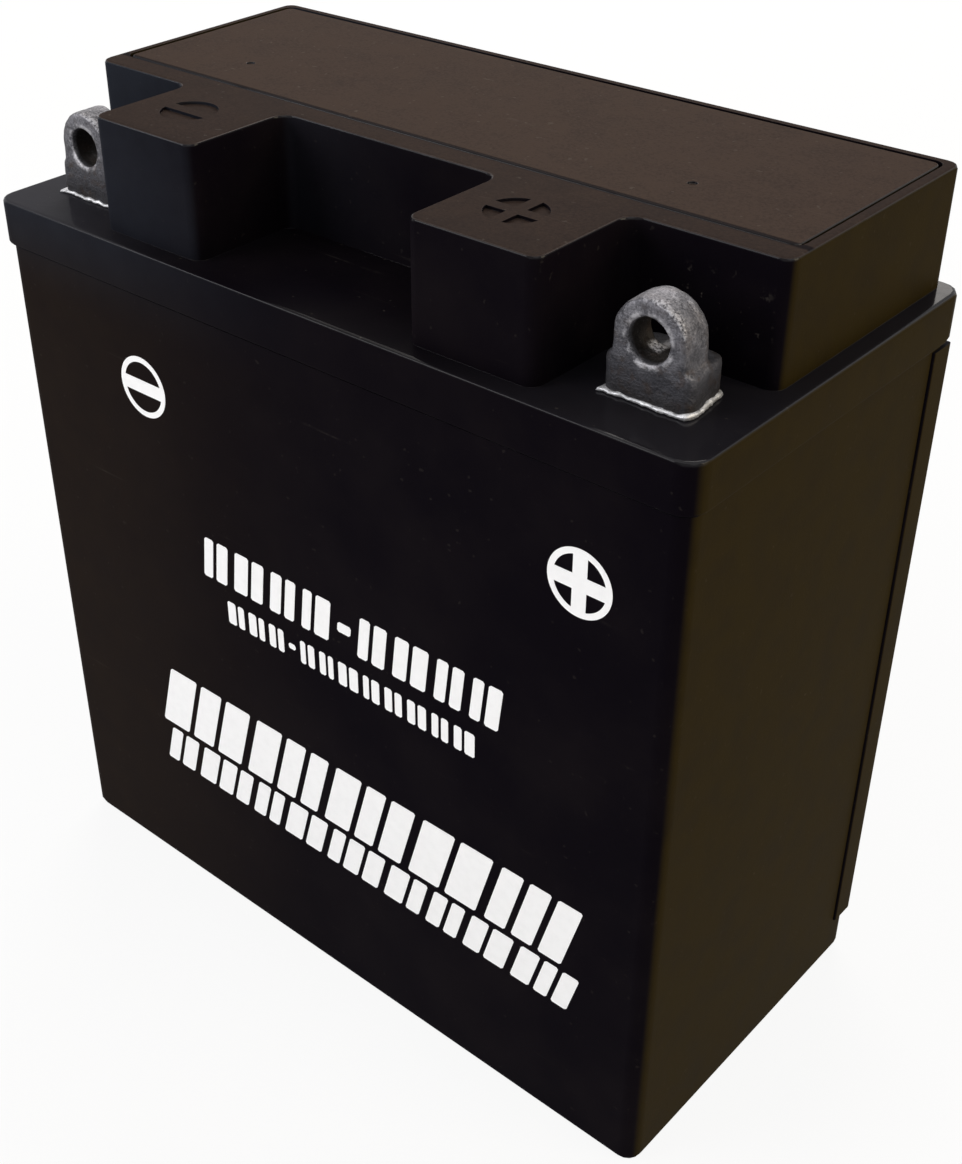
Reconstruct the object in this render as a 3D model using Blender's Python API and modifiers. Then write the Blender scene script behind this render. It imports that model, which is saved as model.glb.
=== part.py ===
"""Motorcycle battery: a 12 V, 5 Ah sealed lead-acid block with two cast lead lug terminals.

Origin at the middle of the underside. +X runs along the length towards the positive terminal,
the terminals and the printed face look towards -Y, and +Z is up. Lengths are in metres.
"""
from math import asin, atan2, copysign, cos, pi, sin, tan

import bmesh
import bpy
from mathutils import Vector

# Overall sizes
LID_LENGTH = 0.1200
LID_WIDTH = 0.0595
HEIGHT = 0.1300

# Clearances
GAP = 0.0003
SEAT_GAP = 0.0001
OVERLAP = 0.0010

# Case
CASE_INSET = 0.0007
CASE_WALL = 0.0022
CASE_FLOOR = 0.0025
CASE_CORNER = 0.0025
CASE_FOOT_RADIUS = 0.0012
CELL_COUNT = 6
PARTITION = 0.0014
SPIGOT_WALL = 0.0012
SPIGOT_HEIGHT = 0.0043
PLATE_REST_HEIGHT = 0.0020
PLATE_REST_WIDTH = 0.0024
PLATE_REST_SPREAD = 0.0140
CORNER_STRIP_WIDTH = 0.0044
CORNER_STRIP_PROUD = 0.0004
CORNER_STRIP_EDGE = 0.00025
CORNER_STRIP_FOOT = 0.0075

# Lid
BLOCK_RISE = 0.0157
FLANGE_DEPTH = 0.0068
FLANGE_CORNER = 0.0030
FLANGE_EDGE = 0.0006
LID_PLATE = 0.0025
BLOCK_SIDE_INSET = 0.0026
BLOCK_BACK_INSET = 0.0012
BLOCK_FRONT_INSET = 0.01955
BLOCK_CORNER = 0.0018
BLOCK_EDGE = 0.0005
BLOCK_WALL = 0.0022
TOWER_FRONT_INSET = 0.00285
TOWER_WIDTH = 0.0192
TOWER_END_INSETS = (0.0312, 0.0332)
TOWER_WALL = 0.0020
TOWER_ROOF = 0.0022
TOWER_INNER_CORNER = 0.0020

# Vent trough and cover
COVER_FRONT_LIP = 0.0037
COVER_RIM = 0.0014
COVER_THICKNESS = 0.0022
COVER_GAP = 0.0004
COVER_CORNER = 0.0015
COVER_EDGE = 0.0003
COVER_SHELF = 0.0014
COVER_RIB_WALL = 0.0010
COVER_RIB_DEPTH = 0.0015
COVER_PIPS = ((-0.0388, 0.0023), (0.0364, 0.0023))
PIP_RADIUS = 0.0006
PIP_DEPTH = 0.0003
TROUGH_DEPTH = 0.0095
TROUGH_FLOOR = 0.0020

# Vent chimneys and their rubber caps
CHIMNEY_RADIUS = 0.0035
CHIMNEY_BORE_RADIUS = 0.0020
CHIMNEY_HEIGHT = 0.0045
CAP_WALL = 0.0010
CAP_ROOF = 0.0013
CAP_SKIRT_CLEARANCE = 0.0005
CAP_LIFT = 0.0005
CAP_STOP_GAP = 0.0001
CAP_STOP_RADIUS = 0.0020

# Terminals
LUG_END_INSET = 0.0122
LUG_FRONT_INSET = 0.00775
LUG_BASE_WIDTH = 0.0120
LUG_BASE_DEPTH = 0.0082
LUG_BASE_HEIGHT = 0.0050
LUG_BASE_CORNER = 0.0010
LUG_BASE_EDGE = 0.0005
LUG_EYE_RADIUS = 0.0047
LUG_EYE_THICKNESS = 0.0045
LUG_EYE_HEIGHT = 0.0079
LUG_EYE_EDGE = 0.0005
LUG_EYE_SET_BACK = 0.0004
LUG_HOLE_RADIUS = 0.0031

# Posts, their seals and resin
POST_RADIUS = 0.0038
POST_TIP_RADIUS = 0.0026
POST_TIP_LENGTH = 0.0026
POST_COLLAR_RADIUS = 0.0064
POST_COLLAR_HEIGHT = 0.0020
BOSS_LARGEST_RADIUS = 0.0072
BOSS_WELL_RADIUS = 0.0058
BOSS_HEIGHT = 0.0060
SEAL_SECTION = 0.00075
RESIN_HEIGHT = 0.0032

# Plates, separators and straps; each DROP is measured down from the lid's ledge
POSITIVE_PLATES = 3
POSITIVE_PLATE_THICKNESS = 0.0018
NEGATIVE_PLATE_THICKNESS = 0.0013
PLATE_END_GAP = 0.0005
PLATE_SIDE_GAP = 0.0005
PLATE_DROP = 0.0223
MAT_THICKNESS = 0.0006
MAT_DROP = 0.0203
TAB_WIDTH = 0.0080
TAB_INSET = 0.0003
STRAP_WIDTH = 0.0100
STRAP_THICKNESS = 0.0040
STRAP_DROP = 0.0143
FLAG_THICKNESS = 0.0020
FLAG_DROP = 0.0071
WELD_RADIUS = 0.0027
WELD_DROP = 0.0108

# Moulded polarity marks
MARK_RADIUS = 0.0039
MARK_BAR = 0.0017
MARK_DEPTH = 0.0004
MARK_SHIFT = -0.0008
MARK_OFFSET = 0.0010
MARK_STEPS = 16

# Facets
CORNER_STEPS = 4
TURN_STEPS = 24
MERGE_DISTANCE = 0.00001

# Worked out from the sizes above
CASE_HALF_LENGTH = LID_LENGTH / 2 - CASE_INSET
CASE_HALF_WIDTH = LID_WIDTH / 2 - CASE_INSET
LEDGE_HEIGHT = HEIGHT - BLOCK_RISE
FLANGE_BOTTOM = LEDGE_HEIGHT - FLANGE_DEPTH
CASE_TOP = FLANGE_BOTTOM - GAP
SPIGOT_TOP = CASE_TOP + SPIGOT_HEIGHT
LID_UNDERSIDE = LEDGE_HEIGHT - LID_PLATE
CELL_HALF_WIDTH = CASE_HALF_WIDTH - CASE_WALL
CELL_LENGTH = (2 * (CASE_HALF_LENGTH - CASE_WALL) - (CELL_COUNT - 1) * PARTITION) / CELL_COUNT
CELL_PITCH = CELL_LENGTH + PARTITION
BLOCK_HALF_LENGTH = LID_LENGTH / 2 - BLOCK_SIDE_INSET
BLOCK_BACK = LID_WIDTH / 2 - BLOCK_BACK_INSET
BLOCK_FRONT = BLOCK_FRONT_INSET - LID_WIDTH / 2
TOWER_FRONT = TOWER_FRONT_INSET - LID_WIDTH / 2
TOWER_CENTRES = (TOWER_END_INSETS[0] - LID_LENGTH / 2, LID_LENGTH / 2 - TOWER_END_INSETS[1])
COVER_SEAT = HEIGHT - COVER_THICKNESS - GAP
COVER_FRONT = BLOCK_FRONT + COVER_FRONT_LIP
COVER_BACK = BLOCK_BACK - COVER_RIM
COVER_HALF_LENGTH = BLOCK_HALF_LENGTH - COVER_RIM
TROUGH_BOTTOM = HEIGHT - TROUGH_DEPTH
TROUGH_CENTRE = (COVER_FRONT + COVER_BACK) / 2
CHIMNEY_TOP = TROUGH_BOTTOM + CHIMNEY_HEIGHT
CAP_TOP = CHIMNEY_TOP + GAP + CAP_ROOF
CAP_RADIUS = CHIMNEY_RADIUS + GAP + CAP_WALL
VENT_LIMIT = COVER_HALF_LENGTH - COVER_SHELF - COVER_RIB_WALL - CAP_RADIUS - 2 * GAP
END_CELL_SIDE = CASE_HALF_LENGTH - CASE_WALL - CELL_LENGTH
BOSS_RADIUS = min(BOSS_LARGEST_RADIUS, CELL_LENGTH / 2 - GAP)
LUG_CENTRE = max(LID_LENGTH / 2 - LUG_END_INSET, END_CELL_SIDE + BOSS_RADIUS + GAP)
LUG_FRONT = LUG_FRONT_INSET - LID_WIDTH / 2
LUG_EYE_CENTRE = LEDGE_HEIGHT + LUG_EYE_HEIGHT
POST_CENTRE = LUG_FRONT + LUG_BASE_DEPTH / 2
BOSS_BOTTOM = LID_UNDERSIDE - BOSS_HEIGHT
COLLAR_TOP = BOSS_BOTTOM - GAP
PLATE_BOTTOM = CASE_FLOOR + PLATE_REST_HEIGHT + GAP
PLATE_TOP = LEDGE_HEIGHT - PLATE_DROP
MAT_TOP = LEDGE_HEIGHT - MAT_DROP
PLATE_HALF_WIDTH = CELL_HALF_WIDTH - PLATE_SIDE_GAP - MAT_THICKNESS - GAP
NEGATIVE_PLATES = POSITIVE_PLATES + 1
STACK_ROOM = CELL_LENGTH - 2 * PLATE_END_GAP
PLATE_ROOM = STACK_ROOM - 2 * POSITIVE_PLATES * (MAT_THICKNESS + 2 * SEAT_GAP)
PLATE_SHRINK = min(1.0, PLATE_ROOM / (POSITIVE_PLATES * POSITIVE_PLATE_THICKNESS
                                      + NEGATIVE_PLATES * NEGATIVE_PLATE_THICKNESS))
POSITIVE_PLATE = POSITIVE_PLATE_THICKNESS * PLATE_SHRINK
NEGATIVE_PLATE = NEGATIVE_PLATE_THICKNESS * PLATE_SHRINK
STACK_GAP = (STACK_ROOM - POSITIVE_PLATES * POSITIVE_PLATE
             - NEGATIVE_PLATES * NEGATIVE_PLATE) / (2 * POSITIVE_PLATES)
PLATE_PITCH = (POSITIVE_PLATE + NEGATIVE_PLATE) / 2 + STACK_GAP
STRAP_TOP = LEDGE_HEIGHT - STRAP_DROP
STRAP_BOTTOM = STRAP_TOP - STRAP_THICKNESS
STRAP_MIDDLE = (STRAP_TOP + STRAP_BOTTOM) / 2
FLAG_TOP = LEDGE_HEIGHT - FLAG_DROP
WELD_HEIGHT = LEDGE_HEIGHT - WELD_DROP


# ---------------------------------------------------------------- scene, materials, helpers

def clear_scene():
    for thing in list(bpy.data.objects):
        bpy.data.objects.remove(thing, do_unlink=True)


def make_collection(name):
    collection = bpy.data.collections.new(name)
    bpy.context.scene.collection.children.link(collection)
    return collection


def make_material(name, colour, roughness, metallic=0.0):
    material = bpy.data.materials.new(name)
    material.use_nodes = True
    shader = material.node_tree.nodes["Principled BSDF"]
    shader.inputs["Base Color"].default_value = (*colour, 1.0)
    shader.inputs["Roughness"].default_value = roughness
    shader.inputs["Metallic"].default_value = metallic
    return material


clear_scene()
BATTERY = make_collection("motorcycle_battery")
CUTTERS = make_collection("cutters")

CASE_PLASTIC = make_material("case_plastic", (0.020, 0.018, 0.021), 0.42)
LID_PLASTIC = make_material("lid_plastic", (0.030, 0.027, 0.026), 0.32)
COVER_PLASTIC = make_material("cover_plastic", (0.045, 0.040, 0.036), 0.45)
CAP_RUBBER = make_material("cap_rubber", (0.015, 0.015, 0.015), 0.75)
SEAL_RUBBER = make_material("seal_rubber", (0.010, 0.010, 0.010), 0.70)
CAST_LEAD = make_material("cast_lead", (0.42, 0.43, 0.44), 0.45, 1.0)
RESIN = make_material("post_resin", (0.05, 0.05, 0.06), 0.25)
POSITIVE_PASTE = make_material("positive_paste", (0.16, 0.09, 0.06), 0.85)
NEGATIVE_PASTE = make_material("negative_paste", (0.36, 0.37, 0.38), 0.75)
GLASS_MAT = make_material("glass_mat", (0.85, 0.85, 0.82), 0.95)


def add_object(name, mesh, material, location=(0, 0, 0)):
    """Link a mesh as a part of the battery, or as a cutter when it has no material."""
    thing = bpy.data.objects.new(name, mesh)
    thing.location = location
    if material:
        mesh.materials.clear()
        mesh.materials.append(material)
        BATTERY.objects.link(thing)
    else:
        CUTTERS.objects.link(thing)
        thing.hide_render = True
        thing.display_type = "WIRE"
    return thing


def finish_mesh(name, shape, material, location=(0, 0, 0)):
    bmesh.ops.recalc_face_normals(shape, faces=shape.faces)
    mesh = bpy.data.meshes.new(name)
    shape.to_mesh(mesh)
    shape.free()
    return add_object(name, mesh, material, location)


def add_box(shape, low, high):
    """Add a box between two corners to a bmesh."""
    box = bmesh.ops.create_cube(shape, size=1.0)["verts"]
    low, high = Vector(low), Vector(high)
    bmesh.ops.scale(shape, vec=high - low, verts=box)
    bmesh.ops.translate(shape, vec=(low + high) / 2, verts=box)


def boxes(name, corners, material=None):
    """One object of separate boxes, each given by its lowest and highest corner."""
    shape = bmesh.new()
    for low, high in corners:
        add_box(shape, low, high)
    return finish_mesh(name, shape, material)


def rounded_box(name, low, high, side_radius, bottom_edge=0.0, top_edge=0.0, material=None):
    """A box with rounded upright edges and, where asked, rounded lower and upper rims."""
    shape = bmesh.new()
    add_box(shape, low, high)
    upright = [e for e in shape.edges if abs(e.verts[0].co.z - e.verts[1].co.z) > MERGE_DISTANCE]
    bmesh.ops.bevel(shape, geom=upright, offset=side_radius, segments=CORNER_STEPS, profile=0.5,
                    affect="EDGES")
    for level, width in ((low[2], bottom_edge), (high[2], top_edge)):
        if width:
            rim = [e for e in shape.edges
                   if all(abs(v.co.z - level) < MERGE_DISTANCE for v in e.verts)]
            bmesh.ops.bevel(shape, geom=rim, offset=width, segments=2, profile=0.5,
                            affect="EDGES")
    return finish_mesh(name, shape, material)


def cylinders(name, centres, radius, bottom, top, material=None, steps=TURN_STEPS, along_x=False):
    """One object of separate upright cylinders, or of cylinders lying along X."""
    shape = bmesh.new()
    for x, y in centres:
        ring = bmesh.ops.create_cone(shape, cap_ends=True, segments=steps, radius1=radius,
                                     radius2=radius, depth=top - bottom)["verts"]
        bmesh.ops.translate(shape, vec=(x, y, (bottom + top) / 2), verts=ring)
    thing = finish_mesh(name, shape, material)
    if along_x:
        thing.rotation_euler = (0, pi / 2, 0)
    return thing


def turned(name, profile, centre, material):
    """A turned piece: a profile of (radius, height) that runs down its outer side."""
    shape = bmesh.new()
    points = [shape.verts.new((radius, 0, height)) for radius, height in profile]
    for first, second in zip(points, points[1:]):
        shape.edges.new((first, second))
    if profile[0][0] > 0:
        shape.edges.new((points[-1], points[0]))
    mesh = bpy.data.meshes.new(name)
    shape.to_mesh(mesh)
    shape.free()
    thing = add_object(name, mesh, material, centre)
    screw = thing.modifiers.new("turn", "SCREW")
    screw.steps = TURN_STEPS
    screw.render_steps = TURN_STEPS
    screw.use_merge_vertices = True
    screw.merge_threshold = MERGE_DISTANCE
    screw.use_smooth_shade = True
    return thing


def rounded_outline(corners):
    """Points round a closed outline; each corner is (x, y, radius)."""
    points = []
    for index, (x, y, radius) in enumerate(corners):
        here = Vector((x, y))
        before = (Vector(corners[index - 1][:2]) - here).normalized()
        after = (Vector(corners[(index + 1) % len(corners)][:2]) - here).normalized()
        half = before.angle(after) / 2
        centre = here + (before + after).normalized() * radius / sin(half)
        start = here + before * radius / tan(half) - centre
        end = here + after * radius / tan(half) - centre
        first = atan2(start.y, start.x)
        turn = (atan2(end.y, end.x) - first + pi) % (2 * pi) - pi
        for step in range(CORNER_STEPS + 1):
            angle = first + turn * step / CORNER_STEPS
            points.append((centre.x + radius * cos(angle), centre.y + radius * sin(angle)))
    return points


def circle(x, y, radius, steps=TURN_STEPS):
    """Points round a circle, clockwise so that a rounded rim opens outwards when it is a hole."""
    return [(x + radius * cos(2 * pi * step / steps), y - radius * sin(2 * pi * step / steps))
            for step in range(steps)]


def plate_from_outlines(name, outlines, thickness, edge, location, rotation=(0, 0, 0), material=None):
    """A flat piece from closed outlines, rounded by edge, its thickness centred on its origin."""
    curve = bpy.data.curves.new(name, "CURVE")
    curve.dimensions = "2D"
    curve.fill_mode = "BOTH"
    curve.extrude = thickness / 2 - edge
    curve.bevel_depth = edge
    curve.bevel_resolution = 1
    curve.offset = -edge
    for outline in outlines:
        spline = curve.splines.new("POLY")
        spline.points.add(len(outline) - 1)
        for point, (x, y) in zip(spline.points, outline):
            point.co = (x, y, 0, 1)
        spline.use_cyclic_u = True
    guide = bpy.data.objects.new(name + "_outline", curve)
    guide.location = location
    guide.rotation_euler = rotation
    CUTTERS.objects.link(guide)
    bpy.context.view_layer.update()
    evaluated = guide.evaluated_get(bpy.context.evaluated_depsgraph_get())
    mesh = bpy.data.meshes.new_from_object(evaluated)
    shape = bmesh.new()
    shape.from_mesh(mesh)
    bmesh.ops.remove_doubles(shape, verts=shape.verts, dist=MERGE_DISTANCE)
    bmesh.ops.recalc_face_normals(shape, faces=shape.faces)
    shape.to_mesh(mesh)
    shape.free()
    thing = add_object(name, mesh, material)
    thing.matrix_world = guide.matrix_world.copy()
    bpy.data.objects.remove(guide, do_unlink=True)
    return thing


def combine(target, operation, *others):
    """Add a Boolean modifier to target for each of the other objects."""
    for other in others:
        boolean = target.modifiers.new(operation.lower() + "_" + other.name, "BOOLEAN")
        boolean.operation = operation
        boolean.solver = "EXACT"
        boolean.object = other


# ---------------------------------------------------------------- places shared by the pieces

def cell_centre(cell):
    """Middle of a cell along X; cell 1 is at the positive end."""
    return ((CELL_COUNT + 1) / 2 - cell) * CELL_PITCH


def vent_place(cell):
    """Middle of a cell's vent chimney; the end ones keep their caps inside the cover's rib."""
    return max(-VENT_LIMIT, min(VENT_LIMIT, cell_centre(cell))), TROUGH_CENTRE


def positive_side(cell):
    """+1 or -1 along Y: where the positive strap of a cell lies. It is at the front in cell 1."""
    return -1 if cell % 2 else 1


CELLS = range(1, CELL_COUNT + 1)
PARTITIONS = [(cell_centre(cell) + cell_centre(cell + 1)) / 2 for cell in range(1, CELL_COUNT)]


def weld_side(partition):
    """Side along Y of the weld that leaves cell number `partition` for the next one."""
    return -positive_side(partition)


# ---------------------------------------------------------------- case

def make_case():
    case = rounded_box(
        "case", (-CASE_HALF_LENGTH, -CASE_HALF_WIDTH, 0), (CASE_HALF_LENGTH, CASE_HALF_WIDTH, CASE_TOP),
        CASE_CORNER, bottom_edge=CASE_FOOT_RADIUS, material=CASE_PLASTIC)
    strips = []
    for side in (-1, 1):
        outer = side * (CASE_HALF_LENGTH + CORNER_STRIP_PROUD)
        inner = side * (CASE_HALF_LENGTH - CASE_CORNER)
        strips.append(rounded_box(
            "corner_strip", (min(outer, inner), CASE_HALF_WIDTH - CORNER_STRIP_WIDTH, CORNER_STRIP_FOOT),
            (max(outer, inner), CASE_HALF_WIDTH, CASE_TOP - GAP), CORNER_STRIP_PROUD,
            bottom_edge=CORNER_STRIP_EDGE))
    spigot_inset = CASE_WALL - SPIGOT_WALL
    spigot = rounded_box(
        "case_spigot",
        (-CASE_HALF_LENGTH + spigot_inset, -CASE_HALF_WIDTH + spigot_inset, CASE_TOP - OVERLAP),
        (CASE_HALF_LENGTH - spigot_inset, CASE_HALF_WIDTH - spigot_inset, SPIGOT_TOP),
        CASE_CORNER - spigot_inset)
    combine(case, "UNION", *strips, spigot)
    hollows = []
    for cell in CELLS:
        middle = cell_centre(cell)
        hollows.append(((middle - CELL_LENGTH / 2, -CELL_HALF_WIDTH, CASE_FLOOR),
                        (middle + CELL_LENGTH / 2, CELL_HALF_WIDTH, SPIGOT_TOP + OVERLAP)))
    combine(case, "DIFFERENCE", boxes("cell_hollows", hollows))
    rests = []
    for side in (-1, 1):
        middle = side * PLATE_REST_SPREAD
        rests.append(((-CASE_HALF_LENGTH + CASE_WALL / 2, middle - PLATE_REST_WIDTH / 2, CASE_FLOOR / 2),
                      (CASE_HALF_LENGTH - CASE_WALL / 2, middle + PLATE_REST_WIDTH / 2,
                       CASE_FLOOR + PLATE_REST_HEIGHT)))
    combine(case, "UNION", boxes("plate_rests", rests))
    for number, x in enumerate(PARTITIONS, start=1):
        hole = cylinders("weld_hole", [(0, 0)], WELD_RADIUS + GAP, -PARTITION, PARTITION, along_x=True)
        hole.location = (x, weld_side(number) * -POST_CENTRE, WELD_HEIGHT)
        combine(case, "DIFFERENCE", hole)
    return case


# ---------------------------------------------------------------- lid

def tower_spans():
    return [(centre - TOWER_WIDTH / 2, centre + TOWER_WIDTH / 2) for centre in TOWER_CENTRES]


def block_outline():
    """Plan of the raised block with its two towers, anticlockwise from the back left corner."""
    corners = [(-BLOCK_HALF_LENGTH, BLOCK_BACK, BLOCK_CORNER),
               (-BLOCK_HALF_LENGTH, BLOCK_FRONT, BLOCK_CORNER)]
    for left, right in tower_spans():
        corners += [(left, BLOCK_FRONT, TOWER_INNER_CORNER), (left, TOWER_FRONT, BLOCK_CORNER),
                    (right, TOWER_FRONT, BLOCK_CORNER), (right, BLOCK_FRONT, TOWER_INNER_CORNER)]
    corners += [(BLOCK_HALF_LENGTH, BLOCK_FRONT, BLOCK_CORNER),
                (BLOCK_HALF_LENGTH, BLOCK_BACK, BLOCK_CORNER)]
    return rounded_outline(corners)


def polarity_mark(name, x, bars):
    """Cutter for a ringed sign: the windows between its circle and its bars are sunk a little."""
    x, y = x + MARK_SHIFT, (TOWER_FRONT + BLOCK_FRONT) / 2 + MARK_OFFSET
    lean, half, turn = asin(MARK_BAR / 2 / MARK_RADIUS), MARK_BAR / 2, pi / bars
    windows = []
    for window in range(2 * bars):
        first, last = turn * window + lean, turn * (window + 1) - lean
        angles = [first + (last - first) * step / MARK_STEPS for step in range(MARK_STEPS + 1)]
        outline = [(x + MARK_RADIUS * cos(angle), y + MARK_RADIUS * sin(angle)) for angle in angles]
        if bars == 2:
            middle = (first + last) / 2
            outline.append((x + copysign(half, cos(middle)), y + copysign(half, sin(middle))))
        windows.append(outline)
    return [plate_from_outlines(name, windows, 2 * MARK_DEPTH, 0.0, (0, 0, HEIGHT))]


def make_lid():
    half_length, half_width = LID_LENGTH / 2, LID_WIDTH / 2
    lid = rounded_box(
        "lid", (-half_length, -half_width, FLANGE_BOTTOM), (half_length, half_width, LEDGE_HEIGHT),
        FLANGE_CORNER, bottom_edge=FLANGE_EDGE, top_edge=FLANGE_EDGE, material=LID_PLASTIC)
    block_height = HEIGHT - LID_UNDERSIDE - GAP
    block = plate_from_outlines("lid_block", [block_outline()], block_height, BLOCK_EDGE,
                                (0, 0, HEIGHT - block_height / 2))
    lug_places = [(-LUG_CENTRE, POST_CENTRE), (LUG_CENTRE, POST_CENTRE)]
    bosses = cylinders("post_bosses", lug_places, BOSS_RADIUS, BOSS_BOTTOM, LEDGE_HEIGHT - LID_PLATE / 2)
    pocket = CASE_WALL - SPIGOT_WALL - GAP
    pocket_cutter = rounded_box(
        "lid_pocket", (-CASE_HALF_LENGTH + pocket, -CASE_HALF_WIDTH + pocket, FLANGE_BOTTOM - OVERLAP),
        (CASE_HALF_LENGTH - pocket, CASE_HALF_WIDTH - pocket, LID_UNDERSIDE), CASE_CORNER - pocket)
    combine(lid, "DIFFERENCE", pocket_cutter)
    combine(lid, "UNION", block, bosses)

    hollows = []
    for cell in CELLS:
        middle = cell_centre(cell)
        low = max(middle - CELL_LENGTH / 2, -BLOCK_HALF_LENGTH + BLOCK_WALL)
        high = min(middle + CELL_LENGTH / 2, BLOCK_HALF_LENGTH - BLOCK_WALL)
        hollows.append(((low, BLOCK_FRONT + BLOCK_WALL, LID_UNDERSIDE - OVERLAP),
                        (high, BLOCK_BACK - BLOCK_WALL, TROUGH_BOTTOM - TROUGH_FLOOR)))
    combine(lid, "DIFFERENCE", boxes("vent_hollows", hollows))
    towers = []
    for left, right in tower_spans():
        cell = min(CELLS, key=lambda number: abs(cell_centre(number) - (left + right) / 2))
        low = max(left + TOWER_WALL, cell_centre(cell) - CELL_LENGTH / 2)
        high = min(right - TOWER_WALL, cell_centre(cell) + CELL_LENGTH / 2)
        towers.append(((low, TOWER_FRONT + TOWER_WALL, LID_UNDERSIDE - OVERLAP),
                       (high, COVER_FRONT - TOWER_WALL, HEIGHT - TOWER_ROOF)))
    combine(lid, "DIFFERENCE", boxes("tower_hollows", towers))

    seat = rounded_box("cover_seat", (-COVER_HALF_LENGTH, COVER_FRONT, COVER_SEAT),
                       (COVER_HALF_LENGTH, COVER_BACK, HEIGHT + OVERLAP), COVER_CORNER)
    trough = rounded_box(
        "vent_trough", (-COVER_HALF_LENGTH + COVER_SHELF, COVER_FRONT + COVER_SHELF, TROUGH_BOTTOM),
        (COVER_HALF_LENGTH - COVER_SHELF, COVER_BACK - COVER_SHELF, COVER_SEAT + OVERLAP), COVER_CORNER)
    combine(lid, "DIFFERENCE", seat, trough)
    vents = [vent_place(cell) for cell in CELLS]
    chimneys = cylinders("chimneys", vents, CHIMNEY_RADIUS, TROUGH_BOTTOM - TROUGH_FLOOR / 2, CHIMNEY_TOP)
    bores = cylinders("chimney_bores", vents, CHIMNEY_BORE_RADIUS, TROUGH_BOTTOM - TROUGH_FLOOR - OVERLAP,
                      CHIMNEY_TOP + OVERLAP)
    combine(lid, "UNION", chimneys)
    combine(lid, "DIFFERENCE", bores)

    wells = cylinders("post_wells", lug_places, BOSS_WELL_RADIUS, BOSS_BOTTOM - OVERLAP, LID_UNDERSIDE)
    post_holes = cylinders("post_holes", lug_places, POST_RADIUS + GAP, LID_UNDERSIDE - OVERLAP,
                           LEDGE_HEIGHT + OVERLAP)
    combine(lid, "DIFFERENCE", wells, post_holes)
    combine(lid, "DIFFERENCE", *polarity_mark("minus_mark", TOWER_CENTRES[0], 1))
    combine(lid, "DIFFERENCE", *polarity_mark("plus_mark", TOWER_CENTRES[1], 2))
    return lid


# ---------------------------------------------------------------- vent cover and valves

def make_vent_cover():
    bottom = HEIGHT - COVER_THICKNESS
    cover = rounded_box(
        "vent_cover", (-COVER_HALF_LENGTH + COVER_GAP, COVER_FRONT + COVER_GAP, bottom),
        (COVER_HALF_LENGTH - COVER_GAP, COVER_BACK - COVER_GAP, HEIGHT), COVER_CORNER - COVER_GAP,
        top_edge=COVER_EDGE, material=COVER_PLASTIC)
    outer = COVER_SHELF + GAP
    inner = outer + COVER_RIB_WALL
    rib = plate_from_outlines(
        "cover_rib", [rounded_outline([
            (-COVER_HALF_LENGTH + inset, COVER_FRONT + inset, COVER_CORNER),
            (COVER_HALF_LENGTH - inset, COVER_FRONT + inset, COVER_CORNER),
            (COVER_HALF_LENGTH - inset, COVER_BACK - inset, COVER_CORNER),
            (-COVER_HALF_LENGTH + inset, COVER_BACK - inset, COVER_CORNER)]) for inset in (outer, inner)],
        COVER_RIB_DEPTH + OVERLAP, 0.0, (0, 0, bottom + (OVERLAP - COVER_RIB_DEPTH) / 2))
    vents = [vent_place(cell) for cell in CELLS]
    stops = cylinders("cap_stops", vents, CAP_STOP_RADIUS, CAP_TOP + CAP_LIFT + CAP_STOP_GAP,
                      bottom + OVERLAP, steps=TURN_STEPS // 2)
    pips = cylinders("cover_pips", COVER_PIPS, PIP_RADIUS, HEIGHT - PIP_DEPTH, HEIGHT + PIP_DEPTH,
                     steps=TURN_STEPS // 2)
    combine(cover, "UNION", rib, stops)
    combine(cover, "DIFFERENCE", pips)
    return cover


def make_valve(cell):
    """A rubber cap over one chimney; it lifts off its seat to let gas past."""
    inner = CHIMNEY_RADIUS + GAP
    roof = CHIMNEY_TOP + GAP - TROUGH_BOTTOM
    height = CAP_TOP - TROUGH_BOTTOM
    shoulder = CAP_ROOF / 2
    profile = [(0, height), (CAP_RADIUS - shoulder, height), (CAP_RADIUS, height - shoulder),
               (CAP_RADIUS, CAP_SKIRT_CLEARANCE), (inner, CAP_SKIRT_CLEARANCE), (inner, roof), (0, roof)]
    return turned(f"valve_{cell}", profile, (*vent_place(cell), TROUGH_BOTTOM), CAP_RUBBER)


# ---------------------------------------------------------------- terminals, posts, seals

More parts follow.
